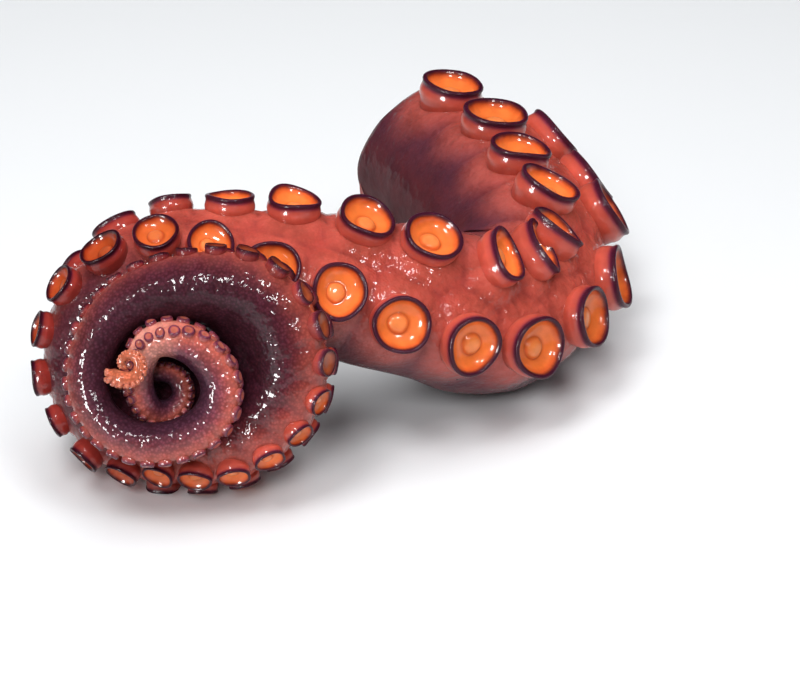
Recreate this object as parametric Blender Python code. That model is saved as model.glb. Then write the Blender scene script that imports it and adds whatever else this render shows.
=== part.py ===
"""A cooked octopus arm: a thick stretch that lies on the surface, bends round and winds up into a coil.

The coil stands on edge and leans back. Two rows of suckers run along the arm's oral side, the smallest ones
at the curled tip. The arm is one solid. Lengths are in metres, +Z is up, and z = 0 is the surface below it.
"""
import bpy
import bmesh
import math
import numpy as np
from mathutils import Matrix, Vector

MM = 0.001

# Where the middle of the coil's rear turn lies, in mm.
COIL_CENTRE = np.array([-40.48, -43.40, 24.1])
# The coil's face leans back from the vertical by this angle, in degrees.
COIL_LEAN = 30.0
# Sideways and upward drift of the coil's axis for each mm that a turn lies further forward.
AXIS_DRIFT = np.array([0.099, 0.014])

# The free stretch from the cut base to the coil, as seen from the coil's centre: x, y, z and thickness in mm,
# then the direction that the suckers face.
STRETCH = [
    (66.0, 114.0, 1.0, 52.0, (0.40, 0.18, 0.90)),
    (74.0, 95.0, 1.0, 52.0, (0.50, 0.20, 0.85)),
    (81.5, 76.0, 0.5, 51.0, (0.61, 0.18, 0.77)),
    (85.5, 60.0, -0.5, 49.0, (0.54, 0.0, 0.84)),
    (84.5, 46.0, -1.7, 46.5, (0.83, -0.28, 0.48)),
    (79.0, 34.5, -2.4, 44.0, (0.67, -0.43, 0.61)),
    (70.2, 26.6, 1.6, 41.5, (0.67, -0.62, 0.40)),
    (57.6, 19.8, 8.3, 38.5, (0.47, -0.69, 0.55)),
    (42.3, 16.2, 13.1, 36.0, (0.35, -0.60, 0.72)),
    (27.3, 13.6, 17.6, 34.0, (0.20, -0.37, 0.91)),
]

# The coil's turns: angle in degrees, reach from the axis, lift towards the front and thickness in mm, and how
# far the suckers' direction has turned from the front to the outside, in degrees.
TURNS = [
    (67, 24.5, -1.0, 33.0, 54), (90, 23.2, 0.0, 32.0, 66), (135, 21.5, 1.0, 30.0, 84),
    (180, 19.2, 2.0, 27.2, 110), (225, 17.4, 4.0, 25.2, 98), (270, 16.0, 7.0, 23.5, 72),
    (315, 20.1, 12.0, 22.0, 74), (360, 25.6, 19.0, 20.2, 82), (405, 24.4, 24.3, 18.2, 95),
    (450, 19.1, 25.8, 15.0, 110), (495, 19.8, 26.5, 11.8, 115), (540, 21.4, 26.5, 9.6, 115),
    (570, 21.5, 26.5, 9.4, 108), (600, 19.0, 27.0, 9.6, 104), (630, 15.7, 27.0, 9.7, 102),
    (658, 13.5, 27.5, 9.8, 100), (688, 10.7, 28.0, 9.7, 98), (720, 7.8, 28.5, 9.6, 95),
    (761, 6.0, 29.0, 9.4, 84), (800, 6.2, 29.0, 9.1, 68), (832, 7.6, 29.0, 8.6, 54),
    (862, 9.0, 28.5, 7.8, 52), (900, 9.3, 27.5, 6.8, 60), (925, 10.1, 26.0, 6.7, 70),
]

# The last turn inside the coil, an arc about its own centre: angle, lift and thickness.
INNER_CENTRE = (-4.2, -5.3)
INNER_REACH = 4.4
INNER_TURN = [
    (-132, 23.8, 6.1), (-90, 21.2, 5.6), (-45, 19.6, 5.2), (0, 18.7, 4.8), (45, 18.6, 4.5), (90, 19.0, 4.3),
]

# The way out from behind the coil, past its left side: place across, up and lift, and thickness.
WAY_OUT = [
    (-7.4, -1.1, 19.4, 4.0), (-10.8, -2.2, 19.8, 3.6), (-13.6, -3.2, 22.0, 3.2),
    (-14.6, -2.9, 26.5, 3.1), (-15.2, -2.1, 31.0, 3.2), (-15.3, -1.3, 34.0, 3.3),
]
# The suckers' direction there, as an angle round the coil, and its turn for each mm of lift.
WAY_OUT_FACING = 100
WAY_OUT_TURN = 5

# The curled tip in front of the coil, a flat spiral: centre, lift, first and last reach, angles, thickness.
CURL_CENTRE = (-12.2, 1.3)
CURL_LIFT = 36.0
CURL_REACH = (3.4, 0.7)
CURL_ANGLES = (-118, 270)
CURL_THICKNESS = (3.4, 0.9)
CURL_STEPS = 11

# The arm's section, the spacing of its rings as a share of the thickness and within limits in mm, the places
# read along its middle line, and over how many of them the suckers' direction is evened out.
SECTION_SIDES = 14
ORAL_FLATTENING = 0.04
RING_STEP_SHARE = 0.33
RING_STEP_LIMITS = (1.9, 6.0)
CURVE_SAMPLES = 3000
DIRECTION_SMOOTHING = 61
DOUBLES_DISTANCE = 1e-4

# Suckers: their width as a share of the arm's thickness, largest where the arm leaves the coil, and the angle of
# each row's feet from the middle of the oral side. The suckers themselves turn aside by a share of that angle.
# Their spacing is a share of their width, measured along whichever row is on the outside of a bend, and a row's
# start is in spacings from the cut base. On the inside of a bend they crowd: each is pressed narrower to fit its
# room, and leans over towards the base. The finest are left out.
SHARE_THICKNESSES = (18.0, 22.0, 28.0, 34.0, 39.0, 46.0, 52.0)
SUCKER_SHARES = (0.345, 0.36, 0.325, 0.405, 0.39, 0.355, 0.345)
ROW_THICKNESSES = (20.0, 30.0, 38.0, 44.0, 52.0)
ROW_ANGLES = (31.0, 37.0, 34.5, 27.0, 33.0)
AXIS_SHARE = 0.68
LEAN = 0.9
SUCKER_PITCH = 1.246
ROW_STARTS = {1: 0.52, -1: 0.88}
ROOM_USED = 0.95
SMALLEST_SUCKER = 3.2

# Sucker profiles from the foot in the flesh, over the lip and into the bowl: reach and height as shares of
# the width. A large one also has the knob in the middle of its bowl.
LARGE_SUCKER_ABOVE = 11.5
LARGE_SIDES = 10
LARGE_PROFILE = [(0.45, -0.30), (0.50, 0.25), (0.42, 0.27), (0.16, 0.14)]
KNOB_HEIGHT = 0.20
MIDDLE_SUCKER_ABOVE = 4.6
MIDDLE_SIDES = 8
SMALL_SIDES = 6
PLAIN_PROFILE = [(0.42, -0.28), (0.48, 0.24)]
BOWL_HEIGHT = 0.10

# The block that trims the flats, wider than the arm.
BLOCK_SIDE = 0.4
BLOCK_DEPTH = 0.1

SKIN_COLOUR = (0.42, 0.09, 0.07, 1.0)
SKIN_ROUGHNESS = 0.32


def new_collection(name):
    collection = bpy.data.collections.new(name)
    bpy.context.scene.collection.children.link(collection)
    return collection


def new_object(name, bm, collection):
    """Turn a bmesh into an object of the collection."""
    mesh = bpy.data.meshes.new(name)
    bm.to_mesh(mesh)
    bm.free()
    obj = bpy.data.objects.new(name, mesh)
    collection.objects.link(obj)
    return obj


def skin_material():
    """Boiled octopus skin: reddish brown and wet."""
    material = bpy.data.materials.new("boiled_octopus_skin")
    material.use_nodes = True
    shader = material.node_tree.nodes["Principled BSDF"]
    shader.inputs["Base Color"].default_value = SKIN_COLOUR
    shader.inputs["Roughness"].default_value = SKIN_ROUGHNESS
    shader.inputs["Metallic"].default_value = 0.0
    return material


def coil_axes():
    """The coil's own directions: right, up along its leaning face, and out of the face to the front."""
    lean = math.radians(COIL_LEAN)
    right = np.array([1.0, 0.0, 0.0])
    up = np.array([0.0, math.sin(lean), math.cos(lean)])
    front = np.array([0.0, -math.cos(lean), math.sin(lean)])
    return right, up, front


def coil_point(across, up_face, lift):
    """A place on the coil, in mm from the coil's centre."""
    right, up, front = coil_axes()
    drift = AXIS_DRIFT * lift
    return right * (across + drift[0]) + up * (up_face + drift[1]) + front * lift


def outward(angle, turned=90.0):
    """The direction at an angle round the coil, turned from the front towards the outside."""
    right, up, front = coil_axes()
    spoke = math.cos(math.radians(angle)) * right + math.sin(math.radians(angle)) * up
    return math.cos(math.radians(turned)) * front + math.sin(math.radians(turned)) * spoke


def spiral_station(centre, reach, angle, lift, thickness):
    """A station on an arc about its own centre, with the suckers on the outside."""
    across = centre[0] + reach * math.cos(math.radians(angle))
    up_face = centre[1] + reach * math.sin(math.radians(angle))
    return [*coil_point(across, up_face, lift), thickness, *outward(angle)]


def arm_stations():
    """All stations from the base to the tip: place, thickness and the suckers' direction."""
    rows = [[x, y, z, thickness, *facing] for x, y, z, thickness, facing in STRETCH]
    for angle, reach, lift, thickness, turned in TURNS:
        across = reach * math.cos(math.radians(angle))
        up_face = reach * math.sin(math.radians(angle))
        rows.append([*coil_point(across, up_face, lift), thickness, *outward(angle, turned)])
    for angle, lift, thickness in INNER_TURN:
        rows.append(spiral_station(INNER_CENTRE, INNER_REACH, angle, lift, thickness))
    for across, up_face, lift, thickness in WAY_OUT:
        facing = outward(WAY_OUT_FACING + WAY_OUT_TURN * (lift - WAY_OUT[0][2]))
        rows.append([*coil_point(across, up_face, lift), thickness, *facing])
    for step in range(CURL_STEPS):
        share = step / (CURL_STEPS - 1)
        angle = CURL_ANGLES[0] + (CURL_ANGLES[1] - CURL_ANGLES[0]) * share
        reach = CURL_REACH[0] + (CURL_REACH[1] - CURL_REACH[0]) * share
        thickness = CURL_THICKNESS[0] + (CURL_THICKNESS[1] - CURL_THICKNESS[0]) * share
        rows.append(spiral_station(CURL_CENTRE, reach, angle, CURL_LIFT, thickness))
    return np.array(rows)


def smooth_curve(knots, values, places):
    """Natural cubic spline through the values, read at the places."""
    count = len(knots)
    gaps = np.diff(knots)
    matrix = np.eye(count)
    bends = np.zeros_like(values)
    for i in range(1, count - 1):
        matrix[i, i - 1:i + 2] = gaps[i - 1], 2 * (gaps[i - 1] + gaps[i]), gaps[i]
        bends[i] = 6 * ((values[i + 1] - values[i]) / gaps[i] - (values[i] - values[i - 1]) / gaps[i - 1])
    bends = np.linalg.solve(matrix, bends)
    i = np.clip(np.searchsorted(knots, places, side="right") - 1, 0, count - 2)
    before = (places - knots[i])[:, None]
    after = (knots[i + 1] - places)[:, None]
    gap = gaps[i][:, None]
    curved = (bends[i] * after ** 3 + bends[i + 1] * before ** 3) / (6 * gap)
    return curved + (values[i] / gap - bends[i] * gap / 6) * after \
        + (values[i + 1] / gap - bends[i + 1] * gap / 6) * before


def running_length(points):
    return np.concatenate([[0.0], np.cumsum(np.linalg.norm(np.diff(points, axis=0), axis=1))])


def unit(vectors):
    return vectors / np.linalg.norm(vectors, axis=-1)[..., None]


def arm_line():
    """The arm's middle line in equal steps: run, place, tangent, oral and side directions, thickness."""
    stations = arm_stations()
    chords = np.linalg.norm(np.diff(stations[:, :3], axis=0), axis=1)
    knots = np.concatenate([[0.0], np.cumsum(np.sqrt(chords))])
    fine = np.linspace(0, knots[-1], 8 * CURVE_SAMPLES)
    run = running_length(smooth_curve(knots, stations[:, :3], fine))
    even = np.linspace(0, run[-1], CURVE_SAMPLES)
    at = np.interp(even, run, fine)
    place = smooth_curve(knots, stations[:, :3], at)
    tangent = unit(np.gradient(place, even, axis=0))
    thickness = np.interp(at, knots, stations[:, 3])
    window = np.hanning(DIRECTION_SMOOTHING)
    window /= window.sum()
    oral = np.empty_like(place)
    for axis in range(3):
        rough = np.interp(at, knots, stations[:, 4 + axis])
        padded = np.pad(rough, DIRECTION_SMOOTHING // 2, mode="edge")
        oral[:, axis] = np.convolve(padded, window, "valid")
    oral = unit(oral - tangent * np.sum(oral * tangent, axis=1)[:, None])
    side = np.cross(tangent, oral)
    return even, place + COIL_CENTRE, tangent, oral, side, thickness


def ring_places(run, thickness):
    """Indices of the rings, closer together where the arm is thin."""
    picked = [0]
    while True:
        step = np.clip(RING_STEP_SHARE * thickness[picked[-1]], *RING_STEP_LIMITS)
        following = int(np.searchsorted(run, run[picked[-1]] + step))
        if following >= len(run) - 1:
            picked.append(len(run) - 1)
            return picked
        picked.append(following)


def arm_flesh(line, collection):
    """The bare arm: a ring extruded along the middle line, a little flatter on the oral side, capped."""
    run, place, tangent, oral, side, thickness = line
    bm = bmesh.new()
    ring = bmesh.ops.create_circle(bm, segments=SECTION_SIDES, radius=1.0)["verts"]
    edges = list(bm.edges)
    angles = [2 * math.pi * k / SECTION_SIDES for k in range(SECTION_SIDES)]
    for index in ring_places(run, thickness):
        if index:
            grown = bmesh.ops.extrude_edge_only(bm, edges=edges)["geom"]
            ring = [item for item in grown if isinstance(item, bmesh.types.BMVert)]
            edges = [item for item in grown if isinstance(item, bmesh.types.BMEdge)]
            edges = [edge for edge in edges if all(vert in ring for vert in edge.verts)]
        for vert, angle in zip(ring, angles):
            flat = 1.0 - ORAL_FLATTENING * max(0.0, math.cos(angle)) ** 2
            across = math.cos(angle) * flat * oral[index] + math.sin(angle) * side[index]
            vert.co = Vector((place[index] + across * thickness[index] / 2) * MM)
    bmesh.ops.holes_fill(bm, edges=[edge for edge in bm.edges if edge.is_boundary], sides=0)
    bmesh.ops.recalc_face_normals(bm, faces=bm.faces)
    return new_object("octopus_arm", bm, collection)


def sucker_places(line):
    """Where the suckers sit: foot, direction, the arm's tangent, width and how far each is pressed narrower."""
    run, place, tangent, oral, side, thickness = line
    width = thickness * np.interp(thickness, SHARE_THICKNESSES, SUCKER_SHARES)
    tilt = np.radians(np.interp(thickness, ROW_THICKNESSES, ROW_ANGLES))[:, None]
    feet, facings = {}, {}
    for row in ROW_STARTS:
        feet[row] = place + (np.cos(tilt) * oral + row * np.sin(tilt) * side) * thickness[:, None] / 2
        facings[row] = np.cos(AXIS_SHARE * tilt) * oral + row * np.sin(AXIS_SHARE * tilt) * side
    outer_steps = np.max([np.linalg.norm(np.diff(path, axis=0), axis=1) for path in feet.values()], axis=0)
    spacings = np.concatenate([[0.0], np.cumsum(outer_steps / (SUCKER_PITCH * width[1:]))])
    last = spacings[width > SMALLEST_SUCKER][-1]
    places = []
    for row, start in ROW_STARTS.items():
        chosen = np.searchsorted(spacings, np.arange(start, last))
        gaps = np.linalg.norm(np.diff(feet[row][chosen], axis=0), axis=1)
        room = np.minimum(np.append(gaps, gaps[-1]), np.insert(gaps, 0, gaps[0]))
        for index, free in zip(chosen, room):
            pressed = min(1.0, ROOM_USED * free / width[index])
            facing = unit(facings[row][index] - LEAN * (1 - pressed) * tangent[index])
            places.append((feet[row][index], facing, tangent[index], width[index], pressed))
    return places


def sucker_profile(width):
    """The turned profile and the number of sides for a sucker of this width."""
    if width > LARGE_SUCKER_ABOVE:
        return LARGE_PROFILE, KNOB_HEIGHT, LARGE_SIDES
    if width > MIDDLE_SUCKER_ABOVE:
        return PLAIN_PROFILE, BOWL_HEIGHT, MIDDLE_SIDES
    return PLAIN_PROFILE, BOWL_HEIGHT, SMALL_SIDES


def sucker_body(facing, tangent, width, pressed):
    """One closed sucker about the origin, in mm: its profile turned round the direction it faces, then pressed."""
    profile, middle, sides = sucker_profile(width)
    bm = bmesh.new()
    axis = Vector(facing)
    along = (Vector(tangent) - axis * axis.dot(Vector(tangent))).normalized()
    points = [(0.0, profile[0][1])] + profile + [(0.0, middle)]
    verts = [bm.verts.new(along * (reach * width) + axis * (height * width)) for reach, height in points]
    edges = [bm.edges.new(pair) for pair in zip(verts, verts[1:])]
    bmesh.ops.spin(
        bm, geom=verts + edges, cent=(0, 0, 0), axis=axis, angle=2 * math.pi, steps=sides, use_merge=True)
    bmesh.ops.remove_doubles(bm, verts=bm.verts, dist=DOUBLES_DISTANCE)
    for vert in bm.verts:
        vert.co += along * along.dot(vert.co) * (pressed - 1)
    bmesh.ops.recalc_face_normals(bm, faces=bm.faces)
    return bm


def sucker_rows(line, collection):
    """All suckers in one mesh of separate closed bodies."""
    whole = bmesh.new()
    for foot, facing, tangent, width, pressed in sucker_places(line):
        single = sucker_body(facing, tangent, width, pressed)
        single.transform(Matrix.Scale(MM, 4) @ Matrix.Translation(Vector(foot)))
        mesh = bpy.data.meshes.new("sucker")
        single.to_mesh(mesh)
        single.free()
        whole.from_mesh(mesh)
        bpy.data.meshes.remove(mesh)
    return new_object("sucker_rows", whole, collection)


def surface_block(collection):
    """The surface that the arm lies on, as a block that trims a small flat under each touching place."""
    bpy.ops.mesh.primitive_cube_add(size=1.0)
    block = bpy.context.object
    block.name = "surface_block"
    block.scale = (BLOCK_SIDE, BLOCK_SIDE, BLOCK_DEPTH)
    block.location = (0, 0, -BLOCK_DEPTH / 2)
    for other in list(block.users_collection):
        other.objects.unlink(block)
    collection.objects.link(block)
    return block


def use_boolean(target, tool, operation):
    """Join or cut exactly. Self-overlaps count, because neighbouring suckers may press into each other."""
    tool.hide_render = True
    tool.display_type = "WIRE"
    modifier = target.modifiers.new(operation.lower(), "BOOLEAN")
    modifier.operation = operation
    modifier.solver = "EXACT"
    modifier.use_self = True
    modifier.object = tool


def build():
    for obj in list(bpy.data.objects):
        bpy.data.objects.remove(obj)
    parts = new_collection("cooked_octopus_arm")
    cutters = new_collection("cutters")
    line = arm_line()
    arm = arm_flesh(line, parts)
    arm.data.materials.append(skin_material())
    use_boolean(arm, sucker_rows(line, cutters), "UNION")
    use_boolean(arm, surface_block(cutters), "DIFFERENCE")


build()
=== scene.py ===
import bpy
import bmesh
import math
import numpy as np
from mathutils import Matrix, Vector, noise


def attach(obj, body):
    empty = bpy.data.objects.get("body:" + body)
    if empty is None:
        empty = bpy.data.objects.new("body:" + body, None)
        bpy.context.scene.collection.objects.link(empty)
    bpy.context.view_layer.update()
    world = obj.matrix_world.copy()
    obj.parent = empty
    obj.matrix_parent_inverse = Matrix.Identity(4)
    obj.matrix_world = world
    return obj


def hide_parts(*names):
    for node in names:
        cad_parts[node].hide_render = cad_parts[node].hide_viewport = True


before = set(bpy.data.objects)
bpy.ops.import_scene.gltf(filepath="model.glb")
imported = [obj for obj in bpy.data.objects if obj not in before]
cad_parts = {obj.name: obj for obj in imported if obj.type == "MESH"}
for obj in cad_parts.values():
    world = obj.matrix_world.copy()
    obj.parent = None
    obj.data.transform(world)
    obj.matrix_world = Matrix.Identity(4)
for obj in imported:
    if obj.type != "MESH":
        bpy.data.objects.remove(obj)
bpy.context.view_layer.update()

# --------------------------------------------------------------------------------------------------------
# The arm's flesh and skin. Boiled octopus: firm muscle in a thin wet skin, coral red by the suckers and
# purple brown on the back. The thick end lies on the surface, bends round and winds up into a coil that leans
# back. The skin is one sleeve, drawn along the arm's middle line and swollen round each sucker.
# --------------------------------------------------------------------------------------------------------

MM = 0.001
# The middle of the coil's rear turn in mm, how far its face leans back, and the coil's own directions. Its
# axis drifts sideways and up by a little for each mm that a turn lies further forward.
COIL_CENTRE = np.array([-40.48, -43.40, 24.1])
COIL_LEAN = math.radians(30.0)
RIGHT = np.array([1.0, 0.0, 0.0])
UP = np.array([0.0, math.sin(COIL_LEAN), math.cos(COIL_LEAN)])
FRONT = np.array([0.0, -math.cos(COIL_LEAN), math.sin(COIL_LEAN)])
AXIS_DRIFT = 0.099 * RIGHT + 0.014 * UP

# The free stretch from the cut base, measured from the coil's centre: x, y, z and thickness in mm, then the
# direction that the suckers face.
STRETCH = [
    (66.0, 114.0, 1.0, 52.0, (0.40, 0.18, 0.90)),
    (74.0, 95.0, 1.0, 52.0, (0.50, 0.20, 0.85)),
    (81.5, 76.0, 0.5, 51.0, (0.61, 0.18, 0.77)),
    (85.5, 60.0, -0.5, 49.0, (0.54, 0.0, 0.84)),
    (84.5, 46.0, -1.7, 46.5, (0.83, -0.28, 0.48)),
    (79.0, 34.5, -2.4, 44.0, (0.67, -0.43, 0.61)),
    (70.2, 26.6, 1.6, 41.5, (0.67, -0.62, 0.40)),
    (57.6, 19.8, 8.3, 38.5, (0.47, -0.69, 0.55)),
    (42.3, 16.2, 13.1, 36.0, (0.35, -0.60, 0.72)),
    (27.3, 13.6, 17.6, 34.0, (0.20, -0.37, 0.91)),
]
THICKEST = STRETCH[0][3]
# The coil's turns: angle in degrees, reach from the axis, lift towards the front and thickness in mm, and how
# far the suckers' direction has turned from the front to the outside.
TURNS = [
    (67, 24.5, -1.0, 33.0, 54), (90, 23.2, 0.0, 32.0, 66), (135, 21.5, 1.0, 30.0, 84),
    (180, 19.2, 2.0, 27.2, 110), (225, 17.4, 4.0, 25.2, 98), (270, 16.0, 7.0, 23.5, 72),
    (315, 20.1, 12.0, 22.0, 74), (360, 25.6, 19.0, 20.2, 82), (405, 24.4, 24.3, 18.2, 95),
    (450, 19.1, 25.8, 15.0, 110), (495, 19.8, 26.5, 11.8, 115), (540, 21.4, 26.5, 9.6, 115),
    (570, 21.5, 26.5, 9.4, 108), (600, 19.0, 27.0, 9.6, 104), (630, 15.7, 27.0, 9.7, 102),
    (658, 13.5, 27.5, 9.8, 100), (688, 10.7, 28.0, 9.7, 98), (720, 7.8, 28.5, 9.6, 95),
    (761, 6.0, 29.0, 9.4, 84), (800, 6.2, 29.0, 9.1, 68), (832, 7.6, 29.0, 8.6, 54),
    (862, 9.0, 28.5, 7.8, 52), (900, 9.3, 27.5, 6.8, 60), (925, 10.1, 26.0, 6.7, 70),
]
# The small turn inside, an arc about its own centre: angle, lift and thickness.
INNER_CENTRE = (-4.2, -5.3)
INNER_REACH = 4.4
INNER_TURN = [
    (-132, 23.8, 6.1), (-90, 21.2, 5.6), (-45, 19.6, 5.2), (0, 18.7, 4.8), (45, 18.6, 4.5), (90, 19.0, 4.3),
]
# The way out past the coil's left side: across, up, lift and thickness, and how the suckers' direction turns.
WAY_OUT = [
    (-7.4, -1.1, 19.4, 4.0), (-10.8, -2.2, 19.8, 3.6), (-13.6, -3.2, 22.0, 3.2),
    (-14.6, -2.9, 26.5, 3.1), (-15.2, -2.1, 31.0, 3.2), (-15.3, -1.3, 34.0, 3.3),
]
WAY_OUT_FACING = 100
WAY_OUT_TURN = 5
# The curled tip, a flat spiral in front of the coil: first and last reach, angle and thickness.
CURL_CENTRE = (-12.2, 1.3)
CURL_LIFT = 36.0
CURL_REACH = (3.4, 0.7)
CURL_ANGLES = (-118, 270)
CURL_THICKNESS = (3.4, 0.9)
CURL_STEPS = 11
# Points along the middle line, how many times finer its length is measured, and how many points one smoothing
# of the suckers' direction takes in.
CURVE_SAMPLES = 3000
FINER_BY = 8
DIRECTION_SMOOTHING = 61


def coil_station(centre, reach, angle, lift, thickness, turned=90.0):
    """A station round the coil: place, thickness and the suckers' direction."""
    spoke = math.cos(math.radians(angle)) * RIGHT + math.sin(math.radians(angle)) * UP
    place = centre[0] * RIGHT + centre[1] * UP + reach * spoke + lift * (FRONT + AXIS_DRIFT)
    facing = math.cos(math.radians(turned)) * FRONT + math.sin(math.radians(turned)) * spoke
    return [*place, thickness, *facing]


def arm_stations():
    """All stations from the cut base to the tip."""
    rows = [[x, y, z, thickness, *facing] for x, y, z, thickness, facing in STRETCH]
    for angle, reach, lift, thickness, turned in TURNS:
        rows.append(coil_station((0, 0), reach, angle, lift, thickness, turned))
    for angle, lift, thickness in INNER_TURN:
        rows.append(coil_station(INNER_CENTRE, INNER_REACH, angle, lift, thickness))
    for across, up_face, lift, thickness in WAY_OUT:
        angle = WAY_OUT_FACING + WAY_OUT_TURN * (lift - WAY_OUT[0][2])
        rows.append(coil_station((across, up_face), 0, angle, lift, thickness))
    for share in np.linspace(0, 1, CURL_STEPS):
        reach, angle, thickness = (a + (b - a) * share for a, b in (CURL_REACH, CURL_ANGLES, CURL_THICKNESS))
        rows.append(coil_station(CURL_CENTRE, reach, angle, CURL_LIFT, thickness))
    return np.array(rows)


def smooth_curve(knots, values, places):
    """A natural cubic spline through the values, read at the places."""
    count = len(knots)
    gaps = np.diff(knots)
    matrix = np.eye(count)
    bends = np.zeros_like(values)
    for i in range(1, count - 1):
        matrix[i, i - 1:i + 2] = gaps[i - 1], 2 * (gaps[i - 1] + gaps[i]), gaps[i]
        bends[i] = 6 * ((values[i + 1] - values[i]) / gaps[i] - (values[i] - values[i - 1]) / gaps[i - 1])
    bends = np.linalg.solve(matrix, bends)
    i = np.clip(np.searchsorted(knots, places, side="right") - 1, 0, count - 2)
    before = (places - knots[i])[:, None]
    after = (knots[i + 1] - places)[:, None]
    gap = gaps[i][:, None]
    curved = (bends[i] * after ** 3 + bends[i + 1] * before ** 3) / (6 * gap)
    return curved + (values[i] / gap - bends[i] * gap / 6) * after \
        + (values[i + 1] / gap - bends[i + 1] * gap / 6) * before


def running_length(points):
    """The length along the points, up to each one."""
    return np.concatenate([[0.0], np.cumsum(np.linalg.norm(np.diff(points, axis=0), axis=1))])


def unit(vectors):
    """The vectors, each made one long."""
    return vectors / np.linalg.norm(vectors, axis=-1)[..., None]


# The middle line, and on it the thickness, the suckers' direction and the way to the side. The curve's knots
# follow the square root of the stations' distances, which keeps it from swinging out where they are close.
stations = arm_stations()
knots = np.concatenate([[0.0], np.cumsum(np.sqrt(np.linalg.norm(np.diff(stations[:, :3], axis=0), axis=1)))])
fine = np.linspace(0, knots[-1], FINER_BY * CURVE_SAMPLES)
fine_run = running_length(smooth_curve(knots, stations[:, :3], fine))
run = np.linspace(0, fine_run[-1], CURVE_SAMPLES)
at_knot = np.interp(run, fine_run, fine)
middle = smooth_curve(knots, stations[:, :3], at_knot)
tangent = unit(np.gradient(middle, run, axis=0))
middle += COIL_CENTRE
thickness = np.interp(at_knot, knots, stations[:, 3])
window = np.hanning(DIRECTION_SMOOTHING)
oral = np.empty_like(middle)
for axis in range(3):
    rough = np.pad(np.interp(at_knot, knots, stations[:, 4 + axis]), DIRECTION_SMOOTHING // 2, mode="edge")
    oral[:, axis] = np.convolve(rough, window / window.sum(), "valid")
oral = unit(oral - tangent * np.sum(oral * tangent, axis=1)[:, None])
side = np.cross(tangent, oral)

# Where the suckers sit, in two rows out of step, how wide each is, and how far its neighbours press it
# narrower. They keep their pitch along the outside of a bend. On the inside they crowd and lean to the base.
# Width as a share of the arm's thickness, and each row's angle off the middle, both by the thickness in mm.
SHARE_THICKNESSES = (18.0, 22.0, 28.0, 34.0, 39.0, 46.0, 52.0)
SUCKER_SHARES = (0.345, 0.36, 0.325, 0.405, 0.39, 0.355, 0.345)
ROW_THICKNESSES = (20.0, 30.0, 38.0, 44.0, 52.0)
ROW_ANGLES = (31.0, 37.0, 34.5, 27.0, 33.0)
# How much of the row's angle a sucker's axis turns, and how far it leans for each share that it is pressed.
AXIS_SHARE = 0.68
LEAN = 0.9
# The pitch in widths, where each row starts in pitches, the share of the free room that a sucker may fill,
# and the narrowest one's width in mm.
SUCKER_PITCH = 1.246
ROW_STARTS = {1: 0.52, -1: 0.88}
ROOM_USED = 0.95
SMALLEST_SUCKER = 0.45

sucker_width = thickness * np.interp(thickness, SHARE_THICKNESSES, SUCKER_SHARES)
row_tilt = np.radians(np.interp(thickness, ROW_THICKNESSES, ROW_ANGLES))[:, None]
feet, facings = {}, {}
for row in ROW_STARTS:
    feet[row] = middle + (np.cos(row_tilt) * oral + row * np.sin(row_tilt) * side) * thickness[:, None] / 2
    facings[row] = np.cos(AXIS_SHARE * row_tilt) * oral + row * np.sin(AXIS_SHARE * row_tilt) * side
outer_steps = np.max([np.linalg.norm(np.diff(path, axis=0), axis=1) for path in feet.values()], axis=0)
spacings = np.concatenate([[0.0], np.cumsum(outer_steps / (SUCKER_PITCH * sucker_width[1:]))])
last = spacings[sucker_width > SMALLEST_SUCKER][-1]
# Each sucker's foot, facing, way along the arm, width, place along it and how far it is pressed.
suckers = []
for row, start in ROW_STARTS.items():
    chosen = np.searchsorted(spacings, np.arange(start, last))
    gaps = np.linalg.norm(np.diff(feet[row][chosen], axis=0), axis=1)
    room = np.minimum(np.append(gaps, gaps[-1]), np.insert(gaps, 0, gaps[0]))
    for index, free in zip(chosen, room):
        pressed = min(1.0, ROOM_USED * free / sucker_width[index])
        facing = unit(facings[row][index] - LEAN * (1 - pressed) * tangent[index])
        suckers.append((feet[row][index], facing, tangent[index], sucker_width[index], run[index], pressed))

# The sleeve's grid: rings closer together where the arm is thin, with a roll over the cut edge and the tip.
# The sink, the tip's rounding and the thinnest size are in mm, and the swell is a share of the radius.
RINGS = 1040
SIDES = 92
RING_CROWDING = 0.75
EDGE_RINGS = 10
EDGE_SINK = 1.6
EDGE_SWELL = 0.86
TIP_ROUNDING = 0.5
THINNEST_FOR_RINGS = 1.5
# The section: flatter on the oral side, slimmer on the back, so that the sides slope a little outwards. The
# slimming ends this far round from the back, as a change of the angle's cosine.
ORAL_FLATTENING = 0.04
BACK_SLIMMING = 0.10
BACK_EXTENT = 1.15
# Skin drawn up into a pedestal round each sucker, in shares of its width, and higher where the arm is thin,
# between the limits in mm. Only skin this near to the sucker, along the arm and below it, is drawn up.
PEDESTAL_HEIGHT = 0.12
THIN_PEDESTAL_HEIGHT = 0.22
THIN_LIMITS = (14.0, 24.0)
PEDESTAL_FLAT = 0.44
PEDESTAL_FOOT = 1.0
NEAR_WIDTHS = 1.6
NEAR_MARGIN = 1.0
BELOW_WIDTHS = 0.8
# A crease runs where two pedestals meet, and fades out below this closeness to both.
CREASE_WIDTH = 0.05
CREASE_DEPTH = 0.018
CREASE_FADE = 0.2
# Unevenness of the flesh: its size in mm, and its height as a share of the thickness. Fine wrinkles of the
# skin: their size and height in mm, lower where the arm is thinner than the limit, down to a least share.
LUMP_SIZE = 13.0
LUMP_HEIGHT = 0.016
WRINKLE_SIZE = 3.2
WRINKLE_HEIGHT = 0.10
WRINKLE_LIMIT = 20.0
WRINKLE_LEAST = 0.15
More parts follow.
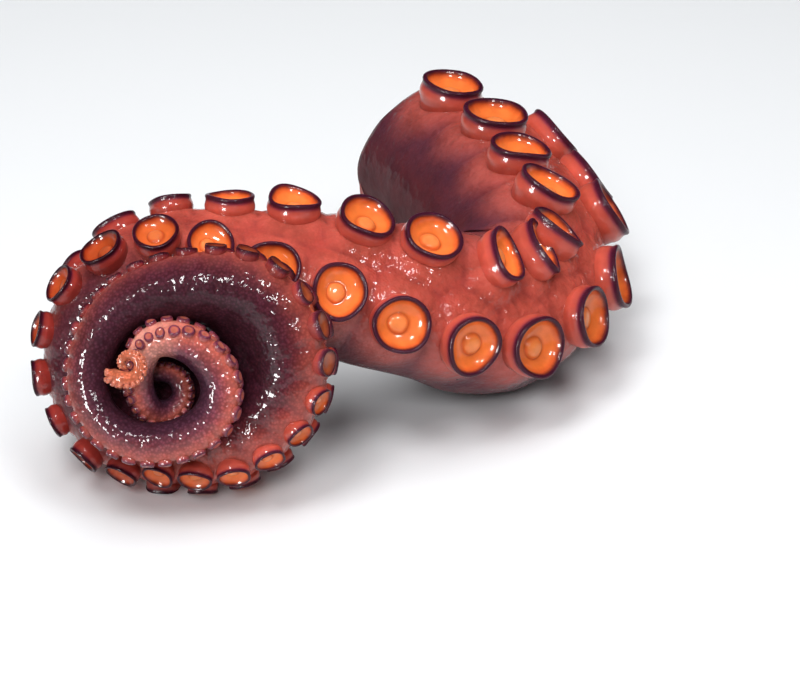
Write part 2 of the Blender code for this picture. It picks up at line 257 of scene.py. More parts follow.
# The soft back of the arm spreads into the middle of the coil: coil angle, mm inwards, share of it rearwards.
SPREAD = [
    (67, 0.0, 0.0), (112, 9.0, 0.0), (180, 9.0, 0.1), (250, 8.0, 0.2), (300, 10.0, 0.35), (345, 14.0, 0.6),
    (395, 13.0, 0.75), (430, 6.0, 0.8), (460, 0.0, 0.8),
]
SPREAD_ROUNDING = 1.6
# How much of the dark pigment shows on the coil's face: coil angle, share.
PIGMENT = [
    (67, 0.0), (105, 0.8), (140, 1.3), (230, 1.2), (280, 0.3), (350, 0.1), (400, 0.6), (440, 1.0), (540, 0.9),
    (600, 0.4), (680, 0.1),
]
# How pale the knobbly stretch beside the tip is: coil angle, share.
PALE = [(800, 0.0), (832, 0.5), (862, 0.9), (900, 0.1), (925, 0.0)]
# Where the arm lies on the surface, it flattens softly within this height in mm.
SURFACE_SOFTNESS = 0.6


def smoothstep(value):
    """An even rise from 0 to 1, flat at both ends."""
    value = np.clip(value, 0.0, 1.0)
    return value * value * (3 - 2 * value)


def noise_field(points, size, seed):
    """Smooth noise about -1 to 1 at each point, with lumps of the given size in mm."""
    offset = Vector((17.3 * seed, 5.1 * seed, 9.7 * seed))
    return np.array([noise.noise(Vector(p) / size + offset) for p in points])


turn_angles = np.array([row[0] for row in TURNS])
spokes = np.cos(np.radians(turn_angles))[:, None] * RIGHT + np.sin(np.radians(turn_angles))[:, None] * UP
spread_mm = np.interp(turn_angles, [row[0] for row in SPREAD], [row[1] for row in SPREAD])
rearwards = np.interp(turn_angles, [row[0] for row in SPREAD], [row[2] for row in SPREAD])
spread_way = -unit(spokes + rearwards[:, None] * FRONT)
turn_knots = knots[len(STRETCH):len(STRETCH) + len(TURNS)]
spread_axes = (spread_way * spread_mm[:, None]).T
spread_axes = [np.interp(at_knot, turn_knots, values, left=0.0, right=0.0) for values in spread_axes]
spread = np.stack(spread_axes, axis=1)
turn_pigment = np.interp(turn_angles, [row[0] for row in PIGMENT], [row[1] for row in PIGMENT])
pigment = np.interp(at_knot, turn_knots, turn_pigment)
turn_pale = np.interp(turn_angles, [row[0] for row in PALE], [row[1] for row in PALE], left=0.0, right=0.0)
pale = np.interp(at_knot, turn_knots, turn_pale)

spacing = np.maximum(thickness, THINNEST_FOR_RINGS) ** -RING_CROWDING
packed = np.concatenate([[0.0], np.cumsum((spacing[1:] + spacing[:-1]) / 2)])
ring_run = np.interp(np.linspace(0, packed[-1], RINGS + 1 - EDGE_RINGS), packed, run)
ring_run = np.concatenate([np.zeros(EDGE_RINGS), ring_run])
ring_index = np.clip(np.searchsorted(run, ring_run), 0, CURVE_SAMPLES - 1)
ring_swell = np.ones(RINGS + 1)
ring_sink = np.zeros(RINGS + 1)
roll = np.linspace(0, 1, EDGE_RINGS + 1)[:-1]
ring_swell[:EDGE_RINGS] = EDGE_SWELL + (1 - EDGE_SWELL) * np.sin(roll * math.pi / 2)
ring_swell[0] = 0.0
ring_sink[:EDGE_RINGS] = EDGE_SINK * (1 - roll) ** 2
from_tip = np.clip((run[-1] - ring_run) / TIP_ROUNDING, 0, 1)
ring_swell *= np.sqrt(1 - (1 - from_tip) ** 2)

# The sleeve, a flat grid wrapped round the middle line.
bm = bmesh.new()
bmesh.ops.create_grid(bm, x_segments=RINGS, y_segments=SIDES, size=0.5)
grid = np.array([vert.co[:2] for vert in bm.verts])
ring_of = np.rint((grid[:, 0] + 0.5) * RINGS).astype(int)
angle = (grid[:, 1] + 0.5) * 2 * math.pi
index = ring_index[ring_of]
swell = ring_swell[ring_of]
facing_share = np.cos(angle)
across = facing_share[:, None] * oral[index] + np.sin(angle)[:, None] * side[index]
depth = 1.0 - ORAL_FLATTENING * np.maximum(0.0, facing_share) ** 2
depth -= BACK_SLIMMING * (1 - smoothstep((facing_share + 1.0) / BACK_EXTENT))
points = middle[index] + across * (thickness[index] / 2 * depth * swell)[:, None]
points += tangent[index] * ring_sink[ring_of][:, None]
spread_size = np.linalg.norm(spread[index], axis=1) + 1e-9
toward = np.sum(across * spread[index], axis=1) / spread_size
points += spread[index] * (np.maximum(0.0, toward) ** SPREAD_ROUNDING)[:, None]
rough = noise_field(points, LUMP_SIZE, 1) * LUMP_HEIGHT * thickness[index]
wrinkle_share = np.clip(thickness[index] / WRINKLE_LIMIT, WRINKLE_LEAST, 1.0)
rough += noise_field(points, WRINKLE_SIZE, 2) * WRINKLE_HEIGHT * wrinkle_share
points += across * (rough * swell)[:, None]

# How close each point is to its nearest and next nearest sucker: 1 at its middle, 0 at its pedestal's foot.
nearest = np.zeros(len(points))
next_nearest = np.zeros(len(points))
nearest_width = np.zeros(len(points))
vertex_run = ring_run[ring_of]
for foot, facing, along, width, share, pressed in suckers:
    near = np.where(np.abs(vertex_run - share) < NEAR_WIDTHS * width + NEAR_MARGIN)[0]
    apart = points[near] - foot
    height = apart @ facing
    flat = apart - height[:, None] * facing
    first = unit(along - facing * (along @ facing))
    flat += np.outer(flat @ first, first) * (1 / pressed - 1)
    closeness = 1 - np.linalg.norm(flat, axis=1) / (PEDESTAL_FOOT * width)
    closeness = np.where((height > -BELOW_WIDTHS * width) & (height < width), closeness, 0.0)
    ahead = closeness > nearest[near]
    next_nearest[near] = np.where(ahead, nearest[near], np.maximum(next_nearest[near], closeness))
    nearest[near] = np.where(ahead, closeness, nearest[near])
    nearest_width[near] = np.where(ahead, width, nearest_width[near])
pedestal = smoothstep(nearest / (1 - PEDESTAL_FLAT / PEDESTAL_FOOT))
crease = np.exp(-((nearest - next_nearest) / CREASE_WIDTH) ** 2) * smoothstep(next_nearest / CREASE_FADE)
thin = np.interp(thickness[index], THIN_LIMITS, (1.0, 0.0))
rise = pedestal * (PEDESTAL_HEIGHT + (THIN_PEDESTAL_HEIGHT - PEDESTAL_HEIGHT) * thin)
points += across * ((rise - crease * CREASE_DEPTH) * nearest_width * swell)[:, None]
# The underside, pressed flat by the surface.
low = np.minimum(points[:, 2], SURFACE_SOFTNESS)
softened = SURFACE_SOFTNESS * np.exp((low - SURFACE_SOFTNESS) / SURFACE_SOFTNESS)
points[:, 2] = np.maximum(points[:, 2], softened)
for vert, point in zip(bm.verts, points * MM):
    vert.co = point
from_oral = np.abs(np.mod(angle + math.pi, 2 * math.pi) - math.pi) / math.pi
# What the skin's material reads at each point.
skin_layers = {
    "round": from_oral, "along": vertex_run / run[-1], "pedestal": pedestal, "crease": crease,
    "thickness": thickness[index] / THICKEST, "pigment": pigment[index], "pale": pale[index],
}
for name, values in skin_layers.items():
    layer = bm.verts.layers.float.new(name)
    for vert, value in zip(bm.verts, values):
        vert[layer] = value
bmesh.ops.remove_doubles(bm, verts=bm.verts, dist=1e-7)
bmesh.ops.recalc_face_normals(bm, faces=bm.faces)
mesh = bpy.data.meshes.new("arm_skin")
bm.to_mesh(mesh)
bm.free()
mesh.shade_smooth()
arm_skin = bpy.data.objects.new("arm_skin", mesh)
bpy.context.scene.collection.objects.link(arm_skin)


def linear(code):
    """An sRGB hex colour as linear values."""
    parts = [int(code[i:i + 2], 16) / 255 for i in (1, 3, 5)]
    return (*[c / 12.92 if c <= 0.04045 else ((c + 0.055) / 1.055) ** 2.4 for c in parts], 1.0)


def add_node(tree, kind, inputs=None, stops=None, **settings):
    """Add a node, set its properties and fill or link its inputs. Stops are a ramp's places and colours."""
    new = tree.nodes.new(kind)
    for name, value in settings.items():
        setattr(new, name, value)
    for socket, value in (inputs or {}).items():
        if isinstance(value, bpy.types.NodeSocket):
            tree.links.new(value, new.inputs[socket])
        else:
            new.inputs[socket].default_value = value
    if stops:
        elements = new.color_ramp.elements
        while len(elements) < len(stops):
            elements.new(0.5)
        for element, (place, code) in zip(elements, stops):
            element.position = place
            element.color = linear(code)
    return new


def attribute(tree, name):
    """The value that the mesh carries under this name."""
    return add_node(tree, "ShaderNodeAttribute", attribute_name=name).outputs["Fac"]


def maths(tree, operation, *values):
    """The values, put through one operation."""
    return add_node(tree, "ShaderNodeMath", dict(enumerate(values)), operation=operation).outputs[0]


def remap(tree, value, start, end, low=0.0, high=1.0):
    """The value, led from the range start to end into the range low to high and held there."""
    limits = {"From Min": start, "From Max": end, "To Min": low, "To Max": high}
    return add_node(tree, "ShaderNodeMapRange", {"Value": value, **limits}).outputs[0]


def ramp(tree, value, stops):
    """The colour that the stops give at the value."""
    return add_node(tree, "ShaderNodeValToRGB", {"Fac": value}, stops=stops).outputs[0]


def noise_pattern(tree, place, size, detail, roughness=0.5):
    """Cloudy noise with lumps of the given size in mm."""
    inputs = {"Vector": place, "Scale": 1000 / size, "Detail": detail, "Roughness": roughness}
    return add_node(tree, "ShaderNodeTexNoise", inputs).outputs["Fac"]


def cell_pattern(tree, place, size, feature="F1"):
    """Cells of the given size in mm, as the distance from each one's middle."""
    inputs = {"Vector": place, "Scale": 1000 / size}
    return add_node(tree, "ShaderNodeTexVoronoi", inputs, feature=feature).outputs["Distance"]


def layered(tree, share, under, over, blend="MIX"):
    """One colour laid over another by a share."""
    sockets = {0: share, 6: under, 7: over}
    return add_node(tree, "ShaderNodeMix", sockets, data_type="RGBA", blend_type=blend).outputs[2]


def new_material(name):
    """A material, its node tree and its shader."""
    material = bpy.data.materials.new(name)
    material.use_nodes = True
    tree = material.node_tree
    return material, tree, tree.nodes["Principled BSDF"]


# Boiled skin: a thin wet film over coral red flesh, with purple pigment left on the back and painted shade in
# the creases.
# The eye gets dark matt patches there and small crisp glints beside them. The granules are 0.4 mm on the real
# skin. Their speckle is drawn about twice as large and their domes three times, or neither would show.
GRANULE_SIZE = 0.75
DOME_SIZE = 1.25
DOME_HEIGHT = 0.35
# The size of the mottling and of the film's ripple, and the ripple's height, in mm.
MOTTLE_SIZE = 7.0
RIPPLE_SIZE = 2.3
RIPPLE_HEIGHT = 1.0
# Where the skin changes from the thick arm's colours to the coil's and then to the tail's, as shares of the
# greatest thickness, and where the tip turns plain, as shares of the length.
COIL_SHARES = (0.66, 0.50)
TAIL_SHARES = (0.27, 0.19)
TIP_SHARES = (0.925, 0.955)
material, tree, shader = new_material("boiled_octopus_skin")
place = add_node(tree, "ShaderNodeTexCoord").outputs["Object"]
read = {name: attribute(tree, name) for name in skin_layers}
mottle = noise_pattern(tree, place, MOTTLE_SIZE, 5.0, 0.6)
band = maths(tree, "ADD", read["round"], maths(tree, "MULTIPLY_ADD", mottle, 0.34, -0.17))
thick_skin = ramp(tree, band, [
    (0.0, "#AE443A"), (0.16, "#9C3A36"), (0.26, "#74323C"), (0.37, "#5A2E3A"), (0.52, "#54262C"),
    (0.68, "#502226"), (1.0, "#381820"),
])
coil_skin = ramp(tree, band, [
    (0.0, "#AA4A42"), (0.22, "#96403C"), (0.36, "#763034"), (0.48, "#56222C"), (0.62, "#3A1722"),
    (1.0, "#220C16"),
])
tail_skin = ramp(tree, band, [
    (0.0, "#D07464"), (0.26, "#C2665C"), (0.40, "#A45252"), (0.54, "#7C3E4A"), (0.70, "#4A2636"),
    (1.0, "#2A1622"),
])
skin = layered(tree, remap(tree, read["thickness"], *COIL_SHARES), thick_skin, coil_skin)
skin = layered(tree, remap(tree, read["thickness"], *TAIL_SHARES), skin, tail_skin)
# Coral beside the suckers, pigment off the rows, painted shade darkening the creases, the pale knobbly
# stretch and the plain tip.
skin = layered(tree, maths(tree, "MULTIPLY", read["pedestal"], 0.55), skin, linear("#CE6250"))
off_row = remap(tree, band, 0.10, 0.32, 0.0, 0.72)
skin = layered(tree, maths(tree, "MULTIPLY", read["pigment"], off_row), skin, linear("#48202C"))
# Painted shade: the creases between pedestals are darkened, as if shade fell in them.
skin = layered(tree, maths(tree, "MULTIPLY", read["crease"], 0.30), skin, linear("#5E1F26"))
skin = layered(tree, read["pale"], skin, linear("#DC9484"))
skin = layered(tree, remap(tree, read["along"], *TIP_SHARES), skin, linear("#CC6C4E"))
# Granules show on the coil's back and little on the thick arm. Mottling runs over all of the skin.
on_coil = remap(tree, read["thickness"], 0.74, 0.60, 0.15, 1.0)
on_back = maths(tree, "MULTIPLY", remap(tree, read["round"], 0.18, 0.42, 0.25, 1.0), on_coil)
speckle = remap(tree, cell_pattern(tree, place, GRANULE_SIZE), 0.0, 0.65, 1.45, 0.70)
skin = layered(tree, on_back, skin, speckle, "MULTIPLY")
skin = layered(tree, 1.0, skin, remap(tree, mottle, 0.34, 0.62, 0.68, 1.06), "MULTIPLY")
tree.links.new(skin, shader.inputs["Base Color"])
# The film is whole by the suckers and thin on the thick arm's back and on the coil's inner wall. Where it is
# thin the skin is duller, and on the thick arm its ripple is lower too.
dry_back = remap(tree, read["round"], 0.35, 0.60, 0.9, 0.03)
inner_wall = remap(tree, read["round"], 0.58, 0.76, 0.9, 0.25)
film = add_node(tree, "ShaderNodeMix", {0: on_coil, 2: dry_back, 3: inner_wall}).outputs[0]
waves = add_node(tree, "ShaderNodeMix", {0: on_coil, 2: film, 3: 0.5}).outputs[0]
domes = cell_pattern(tree, place, DOME_SIZE, "SMOOTH_F1")
granular = maths(tree, "MULTIPLY", remap(tree, read["round"], 0.30, 0.52, 0.03, 0.38), on_coil)
bump = add_node(tree, "ShaderNodeBump",
                {"Height": domes, "Strength": granular, "Distance": -DOME_HEIGHT * MM}).outputs[0]
ripple = noise_pattern(tree, place, RIPPLE_SIZE, 2.0, 0.45)
rippled = {"Height": ripple, "Strength": waves, "Distance": RIPPLE_HEIGHT * MM, "Normal": bump}
bump = add_node(tree, "ShaderNodeBump", rippled).outputs[0]
tree.links.new(bump, shader.inputs["Normal"])
tree.links.new(bump, shader.inputs["Coat Normal"])
tree.links.new(remap(tree, film, 0.03, 0.9, 0.7, 0.42), shader.inputs["Roughness"])
tree.links.new(film, shader.inputs["Coat Weight"])
shader.inputs["IOR"].default_value = 1.38
shader.inputs["Specular IOR Level"].default_value = 0.06
shader.inputs["Coat Roughness"].default_value = 0.05
shader.inputs["Coat IOR"].default_value = 1.36
shader.inputs["Subsurface Weight"].default_value = 0.22
shader.inputs["Subsurface Radius"].default_value = (1.0, 0.30, 0.22)
shader.inputs["Subsurface Scale"].default_value = 0.0022
arm_skin.data.materials.append(material)
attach(arm_skin, "root")
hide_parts("octopus_arm")

# --------------------------------------------------------------------------------------------------------
# The suckers. Each is a short muscular stalk with a thin dark lip round a smooth orange bowl, and a knob in
# the middle of the bowl where the deep chamber closes. They grow out of the flesh in two rows. Here they are
# turned, then pressed out of round one by one.
# --------------------------------------------------------------------------------------------------------

# Half a section from the foot in the flesh to the middle of the bowl: reach and height as shares of width.
SUCKER_PROFILE = [
    (0.0, -0.28), (0.44, -0.27), (0.485, 0.02), (0.505, 0.07), (0.512, 0.12), (0.508, 0.17), (0.496, 0.215),
    (0.486, 0.25), (0.490, 0.28), (0.500, 0.31), (0.496, 0.338), (0.478, 0.354), (0.452, 0.354),
    (0.430, 0.338), (0.415, 0.30), (0.39, 0.255), (0.35, 0.215), (0.30, 0.185), (0.25, 0.165), (0.212, 0.152),
    (0.190, 0.146), (0.177, 0.150), (0.168, 0.163), (0.156, 0.182), (0.132, 0.200), (0.098, 0.211),
    (0.05, 0.217), (0.0, 0.218),
]
SMALL_PROFILE = [
    (0.0, -0.28), (0.44, -0.27), (0.485, 0.10), (0.505, 0.22), (0.497, 0.32), (0.478, 0.375), (0.44, 0.38),
    (0.39, 0.34), (0.29, 0.26), (0.15, 0.215), (0.0, 0.205),
]
FINE_PROFILE = [
    (0.44, -0.25), (0.50, 0.10), (0.51, 0.30), (0.46, 0.42), (0.36, 0.46), (0.22, 0.41), (0.0, 0.36),
]
# The widths in mm below which the small and the fine profile are used, and one wider than any sucker.
SMALL_BELOW = 7.0
FINE_BELOW = 3.7
WIDEST = 99.0
# The narrowest suckers stand taller by the first factor, which is gone at the second width in mm.
TALLER_WIDTHS = (1.3, 2.6)
TALLER_BY = (1.8, 1.0)
# How far a sucker's foot is lifted out of the skin, as a share of its width, and its lowest point in mm.
SEAT = 0.04
LOWEST = 0.02
# What makes each sucker its own: waves of the rim and the outline, an oval, an off-centre knob, a tilt and a
# size, all as shares of the width, with the random numbers held within a limit.
RIM_WAVES = (0.018, 0.008)
RIM_REACH = (0.15, 0.3)
RIM_HEIGHT = 0.2
OUTLINE_WAVES = (0.018, 0.008)
OVAL = 0.04
KNOB_SHIFT = 0.07
KNOB_REACH = 0.36
KNOB_ABOVE = 0.1
TILT = 0.05
SIZE_SPREAD = 0.03
WAVE_LIMIT = 1.5
rng = np.random.default_rng(7)


def turned_mesh(profile, sides):
    """The profile spun once round Z, with its poles closed."""
    bm = bmesh.new()
    verts = [bm.verts.new((reach, 0.0, height)) for reach, height in profile]
    edges = [bm.edges.new(pair) for pair in zip(verts, verts[1:])]
    bmesh.ops.spin(bm, geom=verts + edges, cent=(0, 0, 0), axis=(0, 0, 1), angle=2 * math.pi, steps=sides,
                   use_merge=True)
    bmesh.ops.remove_doubles(bm, verts=bm.verts, dist=1e-5)
    bmesh.ops.recalc_face_normals(bm, faces=bm.faces)
    mesh = bpy.data.meshes.new("turned")
    bm.to_mesh(mesh)
    bm.free()
    return mesh


def sucker_piece(name, profile, sides, chosen):
    """One mesh of the chosen suckers, each a copy of the turned shape, pressed, tilted and set in place."""
    shape = turned_mesh(profile, sides)
    flat_shape = np.array([vert.co for vert in shape.vertices])
    reach = np.hypot(flat_shape[:, 0], flat_shape[:, 1])
    outline = np.array(profile)
    gaps = (reach[:, None] - outline[None, :, 0]) ** 2 + (flat_shape[:, 2:3] - outline[None, :, 1]) ** 2
    step = np.argmin(gaps, axis=1) / (len(profile) - 1)
    bm = bmesh.new()
    places, tones, shares, shades = [], [], [], []
    for foot, facing, along, width, share, pressed in chosen:
        bm.from_mesh(shape)
        local = flat_shape.copy()
        turn = np.arctan2(local[:, 1], local[:, 0])
        wave = rng.normal(0, 1, 4)
        phase = rng.uniform(0, 2 * math.pi, 3)
        rim = smoothstep((reach - RIM_REACH[0]) / RIM_REACH[1]) * smoothstep(local[:, 2] / RIM_HEIGHT)
        rim_wave = RIM_WAVES[0] * wave[0] * np.cos(2 * turn + phase[0])
        local[:, 2] += rim * (rim_wave + RIM_WAVES[1] * np.cos(3 * turn + phase[1]))
        outline_wave = 1 + OUTLINE_WAVES[0] * np.cos(3 * turn + phase[2])
        local[:, :2] *= (outline_wave + OUTLINE_WAVES[1] * np.cos(5 * turn + phase[0]))[:, None]
        inner = (1 - smoothstep(reach / KNOB_REACH)) * (local[:, 2] > KNOB_ABOVE)
        local[:, 0] += KNOB_SHIFT * np.cos(phase[1]) * inner
        local[:, 1] += KNOB_SHIFT * np.sin(phase[1]) * inner
        oval = OVAL * np.clip(wave[2], -WAVE_LIMIT, WAVE_LIMIT)
        local[:, 0] *= (1 + oval) * pressed
        local[:, 1] *= 1 - oval
        local[:, 2] *= np.interp(width, TALLER_WIDTHS, TALLER_BY)
        axis = unit(facing + TILT * rng.normal(0, 1, 3))
        first = unit(along - axis * (along @ axis))
        second = np.cross(axis, first)
        size = width * (1 + SIZE_SPREAD * np.clip(wave[3], -WAVE_LIMIT, WAVE_LIMIT))
        tilted = local[:, 0:1] * first + local[:, 1:2] * second + local[:, 2:3] * axis
        places.append(foot + facing * SEAT * width + tilted * size)
        tones.append(np.full(len(local), rng.uniform(0, 1)))
        shares.append(np.full(len(local), share / run[-1]))
        shades.append(np.full(len(local), min(1.0, np.interp(share, run, pigment))))
    mesh = bpy.data.meshes.new(name)
    bm.to_mesh(mesh)
    bm.free()
    bpy.data.meshes.remove(shape)
    points = np.concatenate(places)
    points[:, 2] = np.maximum(points[:, 2], LOWEST)
    mesh.vertices.foreach_set("co", (points * MM).ravel())
    layers = {
        "section": np.tile(step, len(chosen)), "tone": np.concatenate(tones),
        "along": np.concatenate(shares), "shade": np.concatenate(shades),
    }
    for layer, values in layers.items():
        mesh.attributes.new(layer, "FLOAT", "POINT").data.foreach_set("value", values)
    mesh.update()
    mesh.shade_smooth()
    piece = bpy.data.objects.new(name, mesh)
    bpy.context.scene.collection.objects.link(piece)
    return piece


# The size in mm of the flesh's clouds of tone and of the lip's horny grain, which is 0.3 mm on the real lip
# and drawn at twice that, or it would not show.
CLOUD_SIZE = 3.125
LIP_GRAIN = 0.6
GRAIN_HEIGHT = 0.3


def sucker_material(name, profile, marks, relief):
    """Sucker flesh: a dull, finely grained dark lip, then a smooth wet bowl that glows orange from within.

    The colours and the relief follow the section from the foot to the middle of the bowl, step by step.
    """
    material, tree, shader = new_material(name)
    place = add_node(tree, "ShaderNodeTexCoord").outputs["Object"]
    section = attribute(tree, "section")
    steps = len(profile) - 1
    clouds = noise_pattern(tree, place, CLOUD_SIZE, 4.0)
    where = maths(tree, "ADD", section, maths(tree, "MULTIPLY_ADD", clouds, 0.04, -0.02))
    colour = ramp(tree, where, [(mark / steps, code) for mark, code in marks])
    toned = remap(tree, attribute(tree, "tone"), 0.0, 1.0, 0.88, 1.08)
    light = maths(tree, "MULTIPLY", remap(tree, clouds, 0.3, 0.7, 0.88, 1.10), toned)
    colour = layered(tree, 1.0, colour, light, "MULTIPLY")
    colour = layered(tree, attribute(tree, "shade"), colour, linear("#BC9CA8"), "MULTIPLY")
    tip = remap(tree, attribute(tree, "along"), *TIP_SHARES, 0.0, 0.7)
    colour = layered(tree, tip, colour, linear("#D67C5E"))
    tree.links.new(colour, shader.inputs["Base Color"])
    grain = cell_pattern(tree, place, LIP_GRAIN)
    strength = ramp(tree, section, [(mark / steps, code) for mark, code in relief])
    bump = add_node(tree, "ShaderNodeBump",
                    {"Height": grain, "Strength": strength, "Distance": -GRAIN_HEIGHT * MM}).outputs[0]
    tree.links.new(bump, shader.inputs["Normal"])
    tree.links.new(bump, shader.inputs["Coat Normal"])
    tree.links.new(remap(tree, strength, 0.05, 0.20, 0.9, 0.28), shader.inputs["Coat Weight"])
    shader.inputs["Roughness"].default_value = 0.36
    shader.inputs["IOR"].default_value = 1.38
    shader.inputs["Specular IOR Level"].default_value = 0.15
    shader.inputs["Coat Roughness"].default_value = 0.05
    shader.inputs["Coat IOR"].default_value = 1.36
    shader.inputs["Subsurface Weight"].default_value = 0.30
    shader.inputs["Subsurface Radius"].default_value = (1.0, 0.38, 0.14)
    shader.inputs["Subsurface Scale"].default_value = 0.0018
    return material


# Name, profile, sides, least and greatest width in mm, then colours and relief along the profile's points.
pieces = [
    ("large_suckers", SUCKER_PROFILE, 44, SMALL_BELOW, WIDEST,
     [(0, "#B44638"), (4, "#CA5847"), (5.8, "#B84C40"), (7.0, "#84303C"), (7.9, "#561C30"), (9.0, "#421628"),
      (12.8, "#3E1426"), (13.7, "#7A2E20"), (14.6, "#D45C2A"), (16, "#EC7636"), (18.5, "#EC7838"),
      # Painted shade: the darker orange at 20.4 lies in the groove round the knob.
      (20.4, "#CC5C28"), (22, "#DA6A34"), (24, "#EC8244"), (27, "#EE8A4C")],
     [(0, "#181818"), (6, "#404040"), (8, "#808080"), (13, "#707070"), (14.4, "#000000")]),
    ("small_suckers", SMALL_PROFILE, 22, FINE_BELOW, SMALL_BELOW,
     [(0, "#A8463C"), (2.4, "#B04C44"), (3.2, "#843542"), (4.0, "#4E1F2E"), (6.2, "#3C1622"),
      (7.0, "#823A2C"), (8, "#B65C34"), (10, "#9A4A2E")],
     [(0, "#202020"), (4, "#C0C0C0"), (6.5, "#A0A0A0"), (7.5, "#080808")]),
    ("fine_suckers", FINE_PROFILE, 12, 0.0, FINE_BELOW,
     [(0, "#A8564A"), (1, "#B45E54"), (2, "#8E424C"), (3, "#5A2438"), (4, "#76344A"), (4.8, "#BA6452"),
      (6, "#A85848")],
     [(0, "#101010"), (6, "#101010")]),
]
for name, profile, sides, low_width, high_width, marks, relief in pieces:
    chosen = [sucker for sucker in suckers if low_width <= sucker[3] < high_width]
    piece = sucker_piece(name, profile, sides, chosen)
    piece.data.materials.append(sucker_material(name + "_flesh", profile, marks, relief))
    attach(piece, "root")
    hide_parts("octopus_arm")

# --------------------------------------------------------------------------------------------------------
# The cut end. The arm was sliced off square: pale firm muscle round the nerve cord in the middle, slightly
# domed inside the skin's rolled rim. It is one turned face, set square to the arm's middle line.
# --------------------------------------------------------------------------------------------------------

# Half a section of the face: reach as a share of its radius, which leaves room for the skin, and height in
# mm. A groove runs round the nerve cord, and the edge turns down under the skin.
CUT_SHARE = 0.965
CUT_RADIUS = 0.5 * THICKEST * CUT_SHARE
CUT_PROFILE = [
    (0.0, 0.9), (0.06, 0.88), (0.10, 0.80), (0.13, 0.86), (0.3, 0.82), (0.5, 0.72), (0.7, 0.56), (0.85, 0.36),
    (0.94, 0.12), (0.985, -0.3), (1.0, -0.9), (0.9, -1.6), (0.0, -1.6),
]
CUT_SIDES = 96
CUT_LOWEST = 0.05
mesh = turned_mesh(CUT_PROFILE, CUT_SIDES)
local = np.array([vert.co for vert in mesh.vertices])
across_cut = (local[:, 0:1] * oral[0] + local[:, 1:2] * side[0]) * CUT_RADIUS
points = middle[0] + across_cut - local[:, 2:3] * tangent[0]
points[:, 2] = np.maximum(points[:, 2], CUT_LOWEST)
mesh.vertices.foreach_set("co", (points * MM).ravel())
reach = np.hypot(local[:, 0], local[:, 1])
mesh.attributes.new("reach", "FLOAT", "POINT").data.foreach_set("value", reach)
mesh.update()
mesh.shade_smooth()
cut_face = bpy.data.objects.new("cut_face", mesh)
bpy.context.scene.collection.objects.link(cut_face)
bm = bmesh.new()
bm.from_mesh(mesh)
bmesh.ops.recalc_face_normals(bm, faces=bm.faces)
bm.to_mesh(mesh)
bm.free()

# Cut muscle: pale, moist and faintly fibrous. Light sinks in, so it looks soft, and its rim turns skin red.
FIBRE_SIZE = 2.0
FIBRE_HEIGHT = 0.5
material, tree, shader = new_material("cut_octopus_muscle")
place = add_node(tree, "ShaderNodeTexCoord").outputs["Object"]
fibres = noise_pattern(tree, place, FIBRE_SIZE, 4.0)
ring = maths(tree, "ADD", attribute(tree, "reach"), maths(tree, "MULTIPLY_ADD", fibres, 0.06, -0.03))
colour = ramp(tree, ring, [
    (0.0, "#D9B8A0"), (0.08, "#B98C78"), (0.12, "#EFDCD0"), (0.55, "#F0DDD3"), (0.80, "#E9C9BF"),
    (0.93, "#C98478"), (1.0, "#8C4240"),
])
tree.links.new(colour, shader.inputs["Base Color"])
bump = add_node(tree, "ShaderNodeBump",
                {"Height": fibres, "Strength": 0.5, "Distance": FIBRE_HEIGHT * MM}).outputs[0]
tree.links.new(bump, shader.inputs["Normal"])
shader.inputs["Roughness"].default_value = 0.42
shader.inputs["Coat Weight"].default_value = 0.6
shader.inputs["Coat Roughness"].default_value = 0.12
shader.inputs["Subsurface Weight"].default_value = 0.4
shader.inputs["Subsurface Radius"].default_value = (1.0, 0.5, 0.35)
shader.inputs["Subsurface Scale"].default_value = 0.003
cut_face.data.materials.append(material)
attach(cut_face, "root")
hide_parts("octopus_arm")

# --------------------------------------------------------------------------------------------------------
# The stage. A plain floor of pale paper, soft studio lamps, and the camera square in front of the leaning
# coil. Some lamps only light the flesh, and the others are only seen as small glints in its wet film.
# --------------------------------------------------------------------------------------------------------

FLOOR_HALF = 1.6
bm = bmesh.new()
bmesh.ops.create_grid(bm, x_segments=1, y_segments=1, size=FLOOR_HALF)
mesh = bpy.data.meshes.new("floor")
bm.to_mesh(mesh)
bm.free()
floor = bpy.data.objects.new("floor", mesh)
bpy.context.scene.collection.objects.link(floor)
# Matt paper: it takes the shadow and gives no shine that would draw the eye.
material, tree, shader = new_material("pale_matt_paper")
shader.inputs["Base Color"].default_value = linear("#E6E8EA")
shader.inputs["Roughness"].default_value = 0.8
floor.data.materials.append(material)

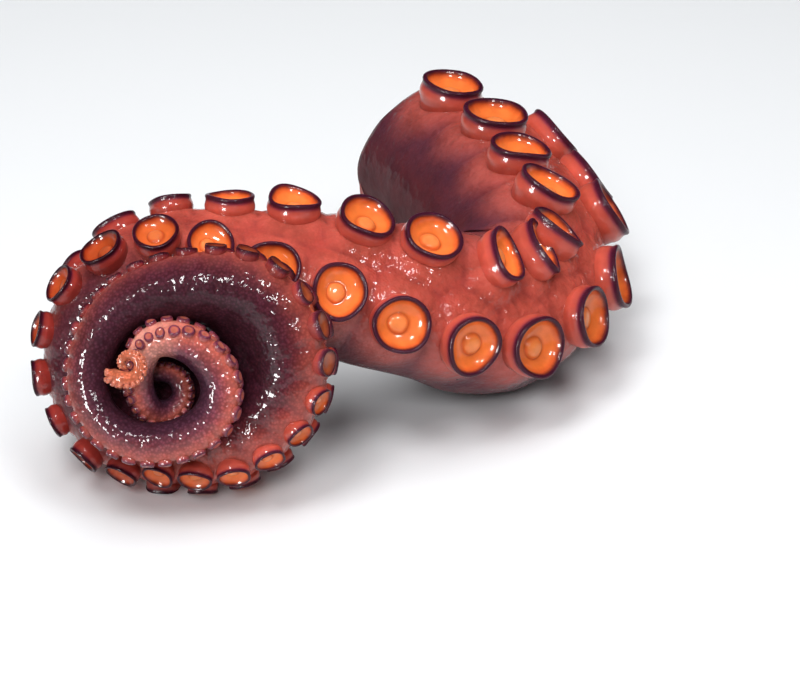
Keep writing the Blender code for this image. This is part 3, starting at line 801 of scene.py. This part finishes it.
# From the coil's centre, in mm along the coil's own directions.
CAMERA_ACROSS = 55.0
CAMERA_UP = 7.9
CAMERA_DISTANCE = 555.5
camera = bpy.data.cameras.new("camera")
camera.lens = 100.0
camera.sensor_width = 36.0
camera.clip_start = 0.02
camera_object = bpy.data.objects.new("camera", camera)
bpy.context.scene.collection.objects.link(camera_object)
stand = (COIL_CENTRE + CAMERA_ACROSS * RIGHT + CAMERA_UP * UP + CAMERA_DISTANCE * FRONT) * MM
camera_object.location = stand
camera_object.rotation_euler = (math.pi / 2 - COIL_LEAN, 0.0, 0.0)
bpy.context.scene.camera = camera_object


def soft_light(name, place, target, size, watts, mirrored):
    """A square lamp that either lights the flesh or is mirrored in its wet film."""
    light = bpy.data.lights.new(name, "AREA")
    light.size = size
    light.energy = watts
    lamp = bpy.data.objects.new(name, light)
    bpy.context.scene.collection.objects.link(lamp)
    lamp.location = place
    lamp.rotation_euler = (Vector(target) - Vector(place)).to_track_quat("-Z", "Y").to_euler()
    lamp.visible_glossy = mirrored
    lamp.visible_diffuse = not mirrored


soft_light("key", (-0.16, -0.78, 0.66), (-0.02, -0.02, 0.03), 0.30, 4.0, False)
soft_light("upper_left", (-0.24, -0.30, 0.86), (-0.02, 0.0, 0.03), 0.30, 3.6, False)
soft_light("upper_right", (0.34, -0.36, 0.80), (0.02, 0.0, 0.03), 0.30, 2.0, False)
soft_light("overhead", (0.05, 0.15, 0.95), (0.0, 0.0, 0.0), 0.7, 4.8, False)
soft_light("left_window", (-0.60, -0.78, 0.30), (-0.02, -0.02, 0.03), 0.28, 15.0, True)
soft_light("top_window", (-0.10, -0.56, 0.80), (0.0, 0.0, 0.03), 0.16, 4.4, True)
soft_light("right_window", (0.42, -0.62, 0.66), (0.02, 0.0, 0.03), 0.16, 4.4, True)

# The world only softens the shadows. The film doesn't mirror it, so that the glints stay small and crisp.
world = bpy.data.worlds.new("world")
world.use_nodes = True
background = world.node_tree.nodes["Background"]
background.inputs["Color"].default_value = linear("#ECEEF2")
background.inputs["Strength"].default_value = 0.17
world.cycles_visibility.glossy = False
bpy.context.scene.world = world
bpy.context.scene.view_settings.view_transform = "Standard"
